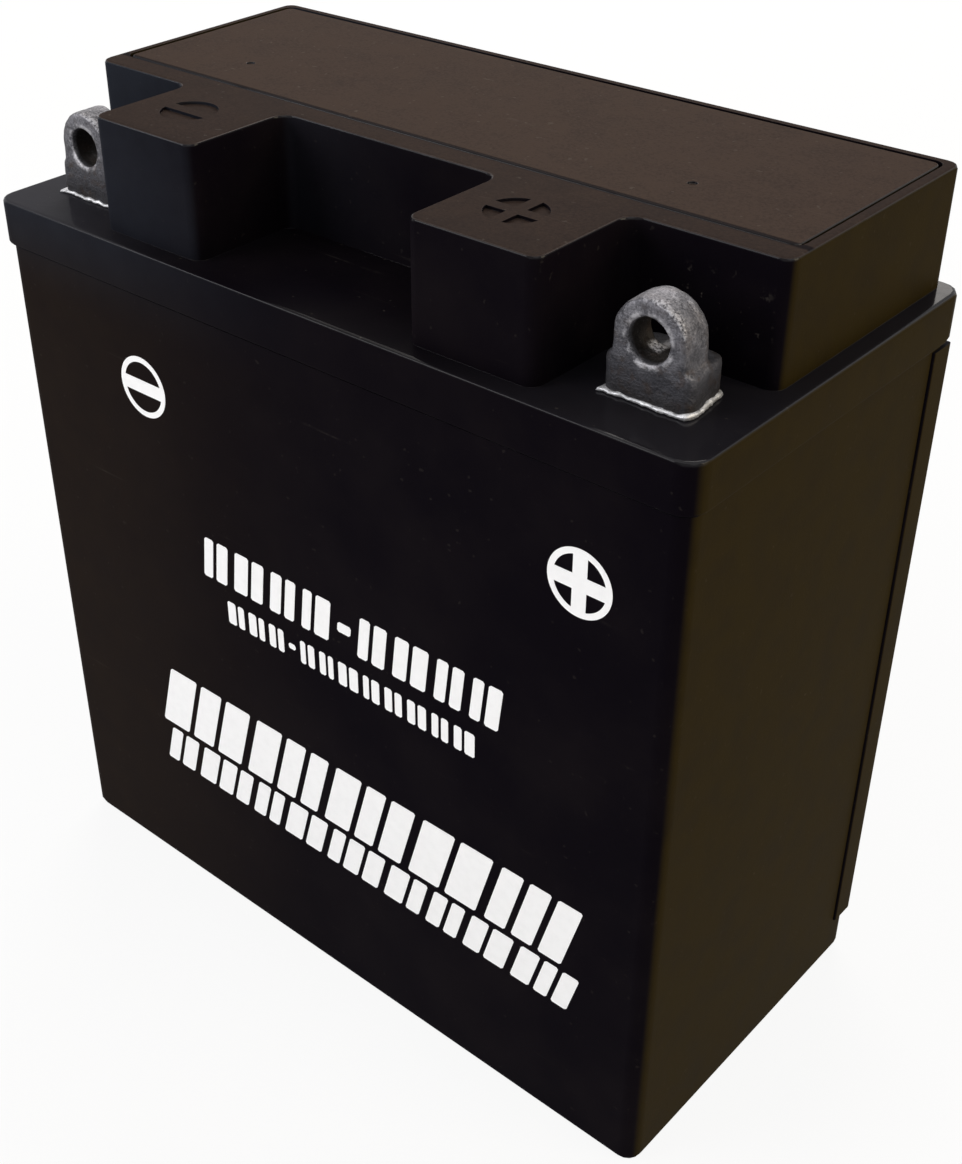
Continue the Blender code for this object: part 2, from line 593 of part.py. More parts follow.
def make_terminal(name, side):
    """A cast lead lug: a foot on the ledge with an upright eye for the cable bolt."""
    x = side * LUG_CENTRE
    foot = LEDGE_HEIGHT + SEAT_GAP
    half = LUG_BASE_WIDTH / 2
    lug = rounded_box(name, (x - half, LUG_FRONT, foot),
                      (x + half, LUG_FRONT + LUG_BASE_DEPTH, foot + LUG_BASE_HEIGHT), LUG_BASE_CORNER,
                      top_edge=LUG_BASE_EDGE, material=CAST_LEAD)
    root = foot + LUG_BASE_HEIGHT / 4
    sides = [(-LUG_EYE_RADIUS, root), (LUG_EYE_RADIUS, root)]
    half_turn = [2 * pi * step / TURN_STEPS for step in range(TURN_STEPS // 2 + 1)]
    arch = [(LUG_EYE_RADIUS * cos(angle), LUG_EYE_CENTRE + LUG_EYE_RADIUS * sin(angle))
            for angle in half_turn]
    eye = plate_from_outlines(name + "_eye", [sides + arch, circle(0, LUG_EYE_CENTRE, LUG_HOLE_RADIUS)],
                              LUG_EYE_THICKNESS, LUG_EYE_EDGE,
                              (x, LUG_FRONT + LUG_EYE_SET_BACK + LUG_EYE_THICKNESS / 2, 0),
                              rotation=(pi / 2, 0, 0))
    socket = cylinders(name + "_socket", [(x, POST_CENTRE)], POST_TIP_RADIUS + GAP, foot - OVERLAP,
                       LEDGE_HEIGHT + POST_TIP_LENGTH + GAP)
    combine(lug, "UNION", eye)
    combine(lug, "DIFFERENCE", socket)
    return lug


def make_post(name, side):
    """A turned lead post from the strap up through the lid into the lug."""
    collar_bottom = COLLAR_TOP - POST_COLLAR_HEIGHT
    profile = [(0, LEDGE_HEIGHT + POST_TIP_LENGTH), (POST_TIP_RADIUS, LEDGE_HEIGHT + POST_TIP_LENGTH),
               (POST_TIP_RADIUS, LEDGE_HEIGHT - GAP), (POST_RADIUS, LEDGE_HEIGHT - GAP),
               (POST_RADIUS, COLLAR_TOP), (POST_COLLAR_RADIUS, COLLAR_TOP),
               (POST_COLLAR_RADIUS, collar_bottom), (POST_RADIUS, collar_bottom),
               (POST_RADIUS, STRAP_TOP + GAP), (0, STRAP_TOP + GAP)]
    return turned(name, profile, (side * LUG_CENTRE, POST_CENTRE, 0), CAST_LEAD)


def make_post_seal(name, side):
    """An O-ring at the top of the post's well."""
    ring = POST_RADIUS + GAP + SEAL_SECTION
    height = LID_UNDERSIDE - GAP - SEAL_SECTION
    steps = TURN_STEPS // 3
    angles = [2 * pi * step / steps for step in range(steps)]
    profile = [(ring + SEAL_SECTION * cos(angle), height - SEAL_SECTION * sin(angle)) for angle in angles]
    return turned(name, profile, (side * LUG_CENTRE, POST_CENTRE, 0), SEAL_RUBBER)


def make_post_resin(name, side):
    """The plug of sealing resin that fills the well below the O-ring."""
    inner, outer = POST_RADIUS + GAP, BOSS_WELL_RADIUS - GAP
    bottom = BOSS_BOTTOM + GAP
    top = bottom + RESIN_HEIGHT
    profile = [(inner, top), (outer, top), (outer, bottom), (inner, bottom)]
    return turned(name, profile, (side * LUG_CENTRE, POST_CENTRE, 0), RESIN)


# ---------------------------------------------------------------- plates and separators

def plate_places(cell, polarity):
    """Middles along X of a cell's plates; the negative plates stand outside the positive ones."""
    count = POSITIVE_PLATES if polarity > 0 else NEGATIVE_PLATES
    return [cell_centre(cell) + (2 * index - count + 1) * PLATE_PITCH for index in range(count)]


def make_plate_group(cell, polarity):
    """Plates of one polarity under their cast strap, with a flag to weld to the next cell."""
    name = ("positive" if polarity > 0 else "negative") + "_plate_group"
    thickness = POSITIVE_PLATE if polarity > 0 else NEGATIVE_PLATE
    side = positive_side(cell) * polarity
    places = plate_places(cell, polarity)
    strap_y = -side * POST_CENTRE
    flag_side = polarity
    has_flag = cell + (-1 if polarity > 0 else 1) in CELLS
    wall = cell_centre(cell) + flag_side * (CELL_LENGTH / 2 - GAP)
    reach = wall if has_flag else places[-1 if polarity > 0 else 0] + flag_side * thickness / 2
    far = places[0 if polarity > 0 else -1] - flag_side * thickness / 2
    strap = boxes(f"{name}_{cell}", [((min(reach, far), strap_y - STRAP_WIDTH / 2, STRAP_BOTTOM),
                                      (max(reach, far), strap_y + STRAP_WIDTH / 2, STRAP_TOP))],
                  POSITIVE_PASTE if polarity > 0 else NEGATIVE_PASTE)
    tab_half = thickness / 2 - TAB_INSET
    tabs = boxes("plate_tabs", [((x - tab_half, strap_y - TAB_WIDTH / 2, PLATE_TOP - OVERLAP),
                                 (x + tab_half, strap_y + TAB_WIDTH / 2, STRAP_MIDDLE - GAP))
                                for x in places])
    plates = boxes("plates", [((x - thickness / 2, -PLATE_HALF_WIDTH, PLATE_BOTTOM),
                               (x + thickness / 2, PLATE_HALF_WIDTH, PLATE_TOP)) for x in places])
    combine(strap, "UNION", tabs, plates)
    if has_flag:
        edge = wall - flag_side * FLAG_THICKNESS
        flag = boxes("weld_flag", [((min(wall, edge), strap_y - STRAP_WIDTH / 2, STRAP_MIDDLE),
                                    (max(wall, edge), strap_y + STRAP_WIDTH / 2, FLAG_TOP))])
        combine(strap, "UNION", flag)
    return strap


def make_separator(cell):
    """One glass mat folded to and fro between the plates of a cell."""
    leaf_offset = (POSITIVE_PLATE + STACK_GAP) / 2
    leaves = []
    for x in plate_places(cell, 1):
        leaves += [x - leaf_offset, x + leaf_offset]
    fold = PLATE_HALF_WIDTH + GAP + MAT_THICKNESS / 2
    path = []
    for index, x in enumerate(leaves):
        path += [(x, fold), (x, -fold)] if index % 2 == 0 else [(x, -fold), (x, fold)]
    shape = bmesh.new()
    lower = [shape.verts.new((x, y, PLATE_BOTTOM)) for x, y in path]
    edges = [shape.edges.new(pair) for pair in zip(lower, lower[1:])]
    raised = bmesh.ops.extrude_edge_only(shape, edges=edges)["geom"]
    bmesh.ops.translate(shape, vec=(0, 0, MAT_TOP - PLATE_BOTTOM),
                        verts=[part for part in raised if isinstance(part, bmesh.types.BMVert)])
    mesh = bpy.data.meshes.new(f"separator_{cell}")
    shape.to_mesh(mesh)
    shape.free()
    separator = add_object(f"separator_{cell}", mesh, GLASS_MAT)
    solid = separator.modifiers.new("thickness", "SOLIDIFY")
    solid.thickness = MAT_THICKNESS
    solid.offset = 0.0
    solid.use_even_offset = True
    return separator


def make_weld(number):
    """The lead plug that joins two flags through the hole in a partition."""
    half = PARTITION / 2
    weld = cylinders(f"intercell_weld_{number}", [(0, 0)], WELD_RADIUS, -half, half, CAST_LEAD, along_x=True)
    weld.location = (PARTITIONS[number - 1], weld_side(number) * -POST_CENTRE, WELD_HEIGHT)
    return weld


# ---------------------------------------------------------------- assembly

make_case()
make_lid()
make_vent_cover()
for cell_number in CELLS:
    make_valve(cell_number)
    make_plate_group(cell_number, 1)
    make_plate_group(cell_number, -1)
    make_separator(cell_number)
for weld_number in range(1, CELL_COUNT):
    make_weld(weld_number)
for label, end in (("negative", -1), ("positive", 1)):
    make_terminal(f"terminal_{label}", end)
    make_post(f"post_{label}", end)
    make_post_seal(f"post_seal_{label}", end)
    make_post_resin(f"post_resin_{label}", end)

for part in BATTERY.objects:
    if not part.name.startswith(("positive", "negative", "separator")):
        part.data.shade_smooth()
        part.data.set_sharp_from_angle(angle=pi / 6)
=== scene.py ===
# %% [markdown]
# # A sealed motorcycle battery
#
# The battery is a black plastic box under a black plastic lid, with a grey lead lug at each
# front corner and white ink on the front wall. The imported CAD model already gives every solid
# its size and place. This script adds what the CAD leaves out: the finish of each moulding,
# the roughness of cast lead, the printed ink, and the light.
#
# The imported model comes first, because everything else is placed from its boxes.

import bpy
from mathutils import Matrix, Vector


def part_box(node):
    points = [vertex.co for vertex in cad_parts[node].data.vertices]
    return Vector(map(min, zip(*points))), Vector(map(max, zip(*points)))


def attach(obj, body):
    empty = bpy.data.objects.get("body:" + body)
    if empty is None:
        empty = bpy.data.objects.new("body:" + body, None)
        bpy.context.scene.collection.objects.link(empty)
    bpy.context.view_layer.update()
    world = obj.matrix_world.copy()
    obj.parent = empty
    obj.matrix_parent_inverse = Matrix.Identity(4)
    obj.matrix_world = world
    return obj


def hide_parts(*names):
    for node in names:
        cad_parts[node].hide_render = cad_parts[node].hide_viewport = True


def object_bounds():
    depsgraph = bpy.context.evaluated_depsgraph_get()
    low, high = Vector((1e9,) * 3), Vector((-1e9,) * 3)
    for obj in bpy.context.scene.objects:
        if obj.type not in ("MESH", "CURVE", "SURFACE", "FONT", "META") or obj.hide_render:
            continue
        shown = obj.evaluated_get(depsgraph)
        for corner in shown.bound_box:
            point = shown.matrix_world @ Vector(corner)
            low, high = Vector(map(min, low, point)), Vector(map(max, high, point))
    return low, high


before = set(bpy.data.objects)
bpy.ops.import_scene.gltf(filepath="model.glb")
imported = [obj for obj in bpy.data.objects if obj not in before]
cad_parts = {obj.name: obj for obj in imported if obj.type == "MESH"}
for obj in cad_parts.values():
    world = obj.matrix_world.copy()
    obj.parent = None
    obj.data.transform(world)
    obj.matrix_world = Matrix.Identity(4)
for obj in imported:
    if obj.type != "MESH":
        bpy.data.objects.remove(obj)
cad_low, cad_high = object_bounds()
print("nodes:", len(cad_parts), "box:", tuple(cad_low), tuple(cad_high))

# %% Modules and units
import math
import random

import bmesh
import bpy
from mathutils import Vector, noise

MM = 0.001
BATTERY = "battery"
scene = bpy.context.scene

# %% [markdown]
# ## The studio
#
# A product picture needs a floor that stays pale, a broad soft light for the top faces, and light
# for the walls. The floor is a plain disc just under the battery.

# %% Floor
FLOOR_RADIUS = 3.0
FLOOR_GAP = 0.2 * MM


def mesh_from(shape, name):
    mesh = bpy.data.meshes.new(name)
    shape.to_mesh(mesh)
    shape.free()
    return mesh


def make_floor():
    shape = bmesh.new()
    bmesh.ops.create_circle(shape, cap_ends=True, segments=96, radius=FLOOR_RADIUS)
    floor = bpy.data.objects.new("studio_floor", mesh_from(shape, "studio_floor"))
    floor.location.z = cad_low.z - FLOOR_GAP
    scene.collection.objects.link(floor)
    return floor


floor = make_floor()
print("floor radius:", FLOOR_RADIUS)

# %% [markdown]
# A material is a small graph of nodes, and sums inside it would take one node each. The first
# class below wraps an output socket, so that `rough + grain * 0.1` builds those Math nodes itself.
# The second holds a graph, and its one method adds any other node: the settings are set first,
# then the sockets are filled with numbers or links. The third is a whole material.


# %% Sums on sockets
class Amount:
    """An output socket that can be used in Python sums."""

    def __init__(self, graph, socket):
        self.graph, self.socket = graph, socket

    def combined(self, operation, first, second):
        return self.graph.node("ShaderNodeMath", {"operation": operation}, {0: first, 1: second})

    def __add__(self, other):
        return self.combined("ADD", self, other)

    __radd__ = __add__

    def __sub__(self, other):
        return self.combined("SUBTRACT", self, other)

    def __rsub__(self, other):
        return self.combined("SUBTRACT", other, self)

    def __mul__(self, other):
        return self.combined("MULTIPLY", self, other)

    __rmul__ = __mul__

    def __truediv__(self, other):
        return self.combined("DIVIDE", self, other)

    def or_more(self, other):
        """The larger of two amounts."""
        return self.combined("MAXIMUM", self, other)

    def size(self):
        return self.graph.node("ShaderNodeMath", {"operation": "ABSOLUTE"}, {0: self})

    def between(self, low, high):
        """0 where the amount is low, 1 where it is high, and a smooth step between."""
        return self.graph.node(
            "ShaderNodeMapRange", {"interpolation_type": "SMOOTHSTEP"},
            {"Value": self, "From Min": low, "From Max": high})


print("sums ready")

# %% Nodes and finishes
class Graph:
    """The nodes of one material or of the world."""

    def __init__(self, tree):
        self.tree = tree

    def fill(self, socket, value):
        if isinstance(value, Amount):
            self.tree.links.new(value.socket, socket)
        else:
            socket.default_value = value

    def node(self, kind, settings=None, inputs=None, output=0):
        made = self.tree.nodes.new(kind)
        for name, value in (settings or {}).items():
            setattr(made, name, value)
        for name, value in (inputs or {}).items():
            self.fill(made.inputs[name], value)
        return Amount(self, made.outputs[output])


class Finish(Graph):
    """A material with one Principled shader, and short ways to add nodes in front of it."""

    def __init__(self, name, **fixed):
        self.material = bpy.data.materials.new(name)
        self.material.use_nodes = True
        super().__init__(self.material.node_tree)
        self.tree.nodes.clear()
        self.shader = self.tree.nodes.new("ShaderNodeBsdfPrincipled")
        self.output = self.tree.nodes.new("ShaderNodeOutputMaterial")
        self.tree.links.new(self.shader.outputs["BSDF"], self.output.inputs["Surface"])
        self.place = self.node("ShaderNodeTexCoord", output="Object")
        self.set(**fixed)

    def set(self, **sockets):
        """Fills sockets of the Principled shader, as in set(coat_ior=1.4)."""
        for socket, value in sockets.items():
            title = socket.replace("_", " ").title().replace("Ior", "IOR")
            self.fill(self.shader.inputs[title], value)

    def axis(self, letter, source=None):
        return self.node("ShaderNodeSeparateXYZ", None, {0: source or self.place}, letter)

    def facing(self):
        """The way the surface points, in the battery's own axes."""
        return self.node("ShaderNodeTexCoord", output="Normal")

    def stretched(self, x, y, z, turn):
        return self.node("ShaderNodeMapping", None,
                         {"Vector": self.place, "Scale": (x, y, z), "Rotation": turn})

    def cloud(self, grain, detail, rough, source=None):
        """Soft noise with patches about grain metres across."""
        return self.node("ShaderNodeTexNoise", None,
                         {"Vector": source or self.place, "Scale": 1 / grain, "Detail": detail,
                          "Roughness": rough})

    def tint(self, mask, first, second):
        """The first colour where the mask is 0 and the second where it is 1."""
        return self.node("ShaderNodeMix", {"data_type": "RGBA"}, {0: mask, 6: first, 7: second}, 2)

    def bumps(self, height, depth, after=None):
        inputs = {"Height": height, "Distance": depth, "Strength": 1.0}
        if after is not None:
            inputs["Normal"] = after
        return self.node("ShaderNodeBump", None, inputs)


print("finishes ready")

# %% [markdown]
# The floor's own colour would go grey where the lamps are weak. So rays from the camera, and rays
# mirrored in the lead, see mostly a flat white, and a share of the real surface is kept for the
# shadow. The rays that light the battery see the plain surface.

# %% Floor finish
FLOOR_WHITE = (0.90, 0.90, 0.90, 1)
FLAT_SHARE = 0.90


def direct_rays(graph):
    """1 for rays from the camera or from a mirror or glass, and 0 for the rest."""
    camera, mirror, glass = (graph.node("ShaderNodeLightPath", output=name)
                             for name in ("Is Camera Ray", "Is Glossy Ray", "Is Transmission Ray"))
    return camera + mirror + glass


def floor_finish():
    paper = Finish("studio_paper", base_color=FLOOR_WHITE, roughness=0.9, specular_ior_level=0.0)
    real = Amount(paper, paper.shader.outputs["BSDF"])
    flat = paper.node("ShaderNodeEmission", None, {"Color": (1, 1, 1, 1), "Strength": 1.0})
    both = paper.node("ShaderNodeMixShader", None,
                      {0: direct_rays(paper) * FLAT_SHARE, 1: real, 2: flat})
    paper.fill(paper.output.inputs["Surface"], both)
    return paper.material


floor.data.materials.append(floor_finish())
print("floor keeps", round(1 - FLAT_SHARE, 2), "of its shadow")

# %% [markdown]
# The world is a plain sky. It lights the object softly from all round, and anything that looks
# straight at it, or at its reflection, sees white.

# %% World
SKY_LEVEL = 0.45


def make_world():
    world = bpy.data.worlds.new("studio_sky")
    world.use_nodes = True
    sky = Graph(world.node_tree)
    background = sky.tree.nodes["Background"]
    background.inputs["Color"].default_value = (1, 1, 1, 1)
    sky.fill(background.inputs["Strength"], SKY_LEVEL + direct_rays(sky) * (1 - SKY_LEVEL))
    scene.world = world


make_world()
scene.view_settings.view_transform = "Standard"
print("sky level:", SKY_LEVEL)

# %% [markdown]
# Lamps are large squares, because a small one would print hard spots on black plastic. The lamp
# behind and above gives the top faces their sheen, the one in front lets the ink read white, and
# the one on the right is a little warm.

# %% Lamps
AIM = Vector((0, 0, 0.07))


def make_lamp(name, place, across, watts, colour):
    light = bpy.data.lights.new(name, "AREA")
    light.shape = "SQUARE"
    light.size, light.energy, light.color = across, watts, colour
    lamp = bpy.data.objects.new(name, light)
    lamp.location = place
    lamp.rotation_euler = (AIM - Vector(place)).to_track_quat("-Z", "Y").to_euler()
    scene.collection.objects.link(lamp)
    return lamp


LAMPS = (
    ("lamp_behind", (-0.55, 0.75, 0.75), 0.7, 6.0, (1.0, 0.95, 0.9)),
    ("lamp_front", (-0.75, -1.0, 0.55), 0.7, 9.0, (0.97, 0.97, 1.0)),
    ("lamp_right", (1.0, 0.25, 0.5), 0.6, 5.0, (1.0, 0.86, 0.62)),
)
for lamp in LAMPS:
    make_lamp(*lamp)
print("lamps:", [lamp[0] for lamp in LAMPS])

# %% [markdown]
# The camera stands in front and to the right, a hand's width above the lid, and looks down at
# about a third of a right angle. It is close, so the near corner looms and the walls narrow
# downwards. The small shift keeps the same viewpoint while the frame moves over the object.

# %% Camera
CAMERA_PLACE = (0.13664, -0.15645, 0.19921)
CAMERA_TURN = (0.98698, 0.01615, 0.73435)
FOCAL_LENGTH = 50.81
FRAME_SHIFT = (0.0612, -0.0149)


def make_camera():
    lens = bpy.data.cameras.new("camera")
    lens.lens, lens.sensor_width = FOCAL_LENGTH, 36.0
    lens.shift_x, lens.shift_y = FRAME_SHIFT
    lens.clip_start, lens.clip_end = 0.01, 20.0
    camera = bpy.data.objects.new("camera", lens)
    camera.location, camera.rotation_euler = CAMERA_PLACE, CAMERA_TURN
    scene.collection.objects.link(camera)
    scene.camera = camera


make_camera()
print("camera:", CAMERA_PLACE)

# %% [markdown]
# ## Black moulded plastic
#
# The case, the lid and the vent cover are injection mouldings of black polypropylene. New, they
# are almost black, and they mirror very little: a strong shine would fill the walls with the
# white of the studio. A thin brown film of dust has settled on the high tops, and the same colour
# paints a sheen there. The end walls get a painted warm light near the corners, the front a painted
# pale light towards the negative end with a painted cool reflection higher up, and the back wall a
# little painted light. The ledge is clean and a little glossy, with a painted sheen towards the
# left and the ends. Rounded edges are rubbed smooth. All of it comes from where a point is and
# which way it faces.

# %% Plastic recipe
PIGMENT = (0.0036, 0.0026, 0.0044, 1)
PIGMENT_WORN = (0.0066, 0.0050, 0.0064, 1)
# Dust on the high tops; the same colour also stands in for their sheen, a painted sheen.
TOP_FILM_AND_SHEEN = (0.0585, 0.0400, 0.0320, 1)
# Painted warm light on the end walls.
PAINTED_END_LIGHT = (0.0215, 0.0148, 0.0045, 1)
# Painted light on the walls, and a painted cool reflection of the sky.
PAINTED_WALL_LIGHT = (0.0150, 0.0105, 0.0082, 1)
PAINTED_COOL_REFLECTION = (0.0185, 0.0210, 0.0280, 1)
# Painted sheen on the ledge.
PAINTED_LEDGE_SHEEN = (0.036, 0.035, 0.042, 1)
DUST = (0.16, 0.14, 0.12, 1)
HIGH_TOP = 125 * MM
HALF_LENGTH = (cad_high.x - cad_low.x) / 2
COVER_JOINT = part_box("vent_cover")[0].y
print("high tops from (mm):", HIGH_TOP / MM, "half length (mm):", round(HALF_LENGTH / MM, 2))


class Moulding(Finish):
    """A plastic finish that knows which faces look up, forwards and sideways, and where it is."""

    def __init__(self, name):
        super().__init__(name, specular_ior_level=0.006, coat_roughness=0.12, coat_ior=1.4)
        facing = self.facing()
        self.way = {letter: self.axis(letter, facing) for letter in "XYZ"}
        self.x, self.y, self.z = (self.axis(letter) for letter in "XYZ")
        self.left = self.x * -1
        self.up = self.way["Z"].between(0.6, 0.98)
        self.front = (self.way["Y"] * -1).between(0.5, 0.95)
        self.high = self.z.between(HIGH_TOP - 3 * MM, HIGH_TOP)
        self.ledge = self.up * (1 - self.high)
        self.patches = self.cloud(6 * MM, 5, 0.65)
        self.fine = self.cloud(0.35 * MM, 2, 0.6)
        self.soft = 0.55 + self.patches * 0.8

    def within(self, amount, start, low, high, end):
        """1 between low and high, fading to 0 at start and end."""
        return amount.between(start, low) * amount.between(end, high)


# %% [markdown]
# Each layer is a colour laid over the last one by a mask. The masks are products of three things:
# which way a face looks, where it is, and a soft noise that keeps the layer from being even.


# %% Films, painted light and dirt
def wall_layers(skin, colour):
    # Painted light on the front, stronger towards the negative end: warm low down, with a painted
    # cool reflection higher up.
    wall_light = skin.tint(skin.z.between(100 * MM, 118 * MM), PAINTED_WALL_LIGHT, PAINTED_COOL_REFLECTION)
    towards_left = skin.left.between(-10 * MM, HALF_LENGTH)
    colour = skin.tint(skin.front * towards_left * skin.soft * 0.9, colour, wall_light)
    # A little painted light on the back wall.
    colour = skin.tint(skin.way["Y"].between(0.5, 0.95) * skin.soft * 0.7, colour, PAINTED_WALL_LIGHT)
    # Painted warm light on the outer end walls, near the corners.
    ends = skin.way["X"].size().between(0.75, 0.98)
    outer = skin.x.size().between(HALF_LENGTH - 11 * MM, HALF_LENGTH - 5 * MM)
    return skin.tint(ends * outer * skin.soft, colour, PAINTED_END_LIGHT)


def scuffed(skin, colour):
    """Small smears on the block's front, behind the positive lug, where a spanner has slipped."""
    smears = skin.cloud(2.2 * MM, 3, 0.7).between(0.60, 0.70) * skin.front
    beside = skin.within(skin.x, 40 * MM, 46 * MM, 52 * MM, 57 * MM)
    level = skin.within(skin.z, 118 * MM, 121 * MM, 124 * MM, 127 * MM)
    return skin.tint(smears * beside * level * 0.5, colour, DUST)


def top_layers(skin, colour, film_and_sheen):
    outwards = skin.x.size().between(12 * MM, HALF_LENGTH)
    more_on_left = skin.left.between(-2 * HALF_LENGTH, HALF_LENGTH)
    # Painted sheen on the clean ledge, stronger towards the left and the ends.
    colour = skin.tint(skin.ledge * outwards * more_on_left * skin.soft, colour, PAINTED_LEDGE_SHEEN)
    colour = scuffed(skin, colour)
    grainy = skin.soft * (0.42 + skin.fine * 1.16)
    joint_dirt = (skin.y - COVER_JOINT).size().between(0.75 * MM, 0.35 * MM)
    # The film on the high tops is brown dust and a painted sheen together, thinner along the cover's
    # joint.
    return skin.tint(skin.up * skin.high * film_and_sheen * grainy * (1 - joint_dirt * 0.85), colour, TOP_FILM_AND_SHEEN)


def marks_of_use(skin, colour):
    """Long faint scratches along the walls, and specks of dust, most of them on the tops."""
    scratches = skin.cloud(1.0, 2, 0.5, skin.stretched(30, 1100, 1100, (0.0, 0.05, 0.0)))
    scratches = scratches.between(0.66, 0.80) * skin.patches.between(0.45, 0.7)
    specks = skin.cloud(0.9 * MM, 1, 0.4).between(0.735, 0.79)
    colour = skin.tint(scratches * 0.14, colour, DUST)
    return skin.tint(specks * (0.05 + skin.up * 0.15), colour, DUST)


# %% [markdown]
# The gloss is a thin coat over the dull plastic. It lies on the clean ledge, more of it near the
# positive lug, and on the rounded edges and corners. A rounded edge is found by its direction: on
# a flat face one part of the direction is nearly 1, and on a round all parts are smaller.


# %% Gloss and the whole recipe
def gloss_mask(skin, gloss):
    across, along, above = (skin.way[letter].size() for letter in "XYZ")
    flat = across.or_more(along.or_more(above))
    upper = skin.way["Z"]
    edge = flat.between(0.99, 0.90) * upper.between(0.05, 0.3)
    corner = flat.between(0.80, 0.68) * across.between(0.25, 0.45) * upper.between(0.25, 0.45)
    clean = skin.ledge * gloss * (0.6 + skin.x.between(15 * MM, 40 * MM) * 1.6)
    return (clean + edge * 0.38 + corner * 0.6) * (1 - skin.patches.between(0.5, 0.85) * 0.6)


def moulded_plastic(name, film_and_sheen=1.0, gloss=0.0):
    skin = Moulding(name)
    broad = skin.cloud(22 * MM, 4, 0.6)
    colour = skin.tint(broad.between(0.35, 0.75), PIGMENT, PIGMENT_WORN)
    colour = marks_of_use(skin, top_layers(skin, wall_layers(skin, colour), film_and_sheen))
    skin.set(base_color=colour, coat_weight=gloss_mask(skin, gloss),
             roughness=0.42 + skin.patches * 0.12 + skin.fine * 0.08 + skin.up * skin.high * 0.1)
    shape = skin.bumps(broad, 0.10 * MM)
    skin.set(normal=skin.bumps(skin.fine, 0.018 * MM, shape))
    return skin.material


CASE_PLASTIC = moulded_plastic("case_plastic")
LID_PLASTIC = moulded_plastic("lid_plastic", film_and_sheen=0.58, gloss=0.16)
COVER_PLASTIC = moulded_plastic("cover_plastic")
print("plastics ready")

# %% [markdown]
# ## The small parts inside
#
# The vent cover lifts off, and then the rubber caps show. The posts, plates and mats stay out of
# sight, but each still gets a finish of its own, so that a cut-away or an exported part is never
# a blank grey solid.

# %% Finishes inside the battery
PIT_GREY = (0.05, 0.052, 0.05, 1)


def cast_lead(name, bright, dark, lump):
    lead = Finish(name, metallic=0.85, specular_ior_level=0.5)
    patches = lead.cloud(lump, 6, 0.62)
    grain = lead.cloud(0.28 * MM, 3, 0.65)
    pits = lead.cloud(0.8 * MM, 2, 0.5).between(0.60, 0.74)
    tone = (patches * 0.75 + grain * 0.35).between(0.32, 0.78)
    colour = lead.tint(tone, dark, bright)
    colour = lead.tint(pits * 0.55, colour, PIT_GREY)
    lead.set(base_color=colour, roughness=0.62 - tone * 0.22 + grain * 0.1)
    lead.set(normal=lead.bumps(grain, 0.05 * MM, lead.bumps(patches, 0.16 * MM)))
    return lead.material


def powdery(name, light, dark, lump, rough=0.85, depth=0.08):
    """A dull finish with no metal in it: rubber, resin, paste or glass mat."""
    dull = Finish(name, specular_ior_level=0.3)
    patches, grain = dull.cloud(lump, 5, 0.6), dull.cloud(0.4 * MM, 3, 0.6)
    tone = (patches * 0.7 + grain * 0.4).between(0.3, 0.8)
    dull.set(base_color=dull.tint(tone, dark, light), roughness=rough - tone * 0.12,
             normal=dull.bumps(grain, depth * MM))
    return dull.material


POWDERS = {
    "cap_rubber": ((0.030, 0.029, 0.028, 1), (0.010, 0.010, 0.010, 1), 3 * MM, 0.75),
    "seal_rubber": ((0.022, 0.021, 0.020, 1), (0.010, 0.010, 0.010, 1), 2 * MM, 0.6),
    "post_resin": ((0.10, 0.035, 0.020, 1), (0.055, 0.016, 0.010, 1), 2 * MM, 0.35, 0.02),
    "positive_paste": ((0.115, 0.062, 0.040, 1), (0.055, 0.026, 0.017, 1), 4 * MM),
    "negative_paste": ((0.25, 0.25, 0.26, 1), (0.14, 0.14, 0.145, 1), 4 * MM),
    "glass_mat": ((0.82, 0.82, 0.80, 1), (0.62, 0.62, 0.60, 1), 1.5 * MM, 0.95, 0.12),
}
INSIDE = {name: powdery(name, *look) for name, look in POWDERS.items()}
INSIDE["plain_lead"] = cast_lead("plain_lead", (0.42, 0.42, 0.44, 1), (0.16, 0.16, 0.17, 1), 3 * MM)
print("inside finishes:", sorted(INSIDE))

# %% [markdown]
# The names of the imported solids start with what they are, so a short list of beginnings is enough
# to give each one its finish. The first beginning that fits is taken.

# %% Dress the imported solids
FINISH_OF = (
    ("case", CASE_PLASTIC), ("lid", LID_PLASTIC), ("vent_cover", COVER_PLASTIC),
    ("valve_", INSIDE["cap_rubber"]), ("post_seal_", INSIDE["seal_rubber"]),
    ("post_resin_", INSIDE["post_resin"]), ("post_", INSIDE["plain_lead"]),
    ("positive_plate_group_", INSIDE["positive_paste"]),
    ("negative_plate_group_", INSIDE["negative_paste"]),
    ("separator_", INSIDE["glass_mat"]), ("intercell_weld_", INSIDE["plain_lead"]),
    ("terminal_", INSIDE["plain_lead"]),
)


def dress(node, material):
    slots = node.data.materials
    slots.clear()
    slots.append(material)


for name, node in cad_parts.items():
    dress(node, next(finish for start, finish in FINISH_OF if name.startswith(start)))
print("dressed:", len(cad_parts))

# %% [markdown]
# ## Rounded edges on the mouldings
#
# A mould never gives a knife edge, and a small round is what catches the light along the lid's
# flange and the towers. Each of the three mouldings is copied and its loose triangles are welded
# into one skin. Flat faces are merged, every edge sharper than 35 degrees gets a round about a
# fifth of a millimetre wide, and the rest is shaded smooth. The round is finer on the vent cover,
# whose two small dimples would grow into each other. The copy takes the place of the plain solid;
# the solid itself is not touched.

# %% Softened mouldings
EDGE_ROUND = 0.22 * MM
COVER_ROUND = 0.12 * MM
SHARP = math.radians(35)
FLAT_WITHIN = math.radians(0.5)
WELD_GAP = 0.001 * MM


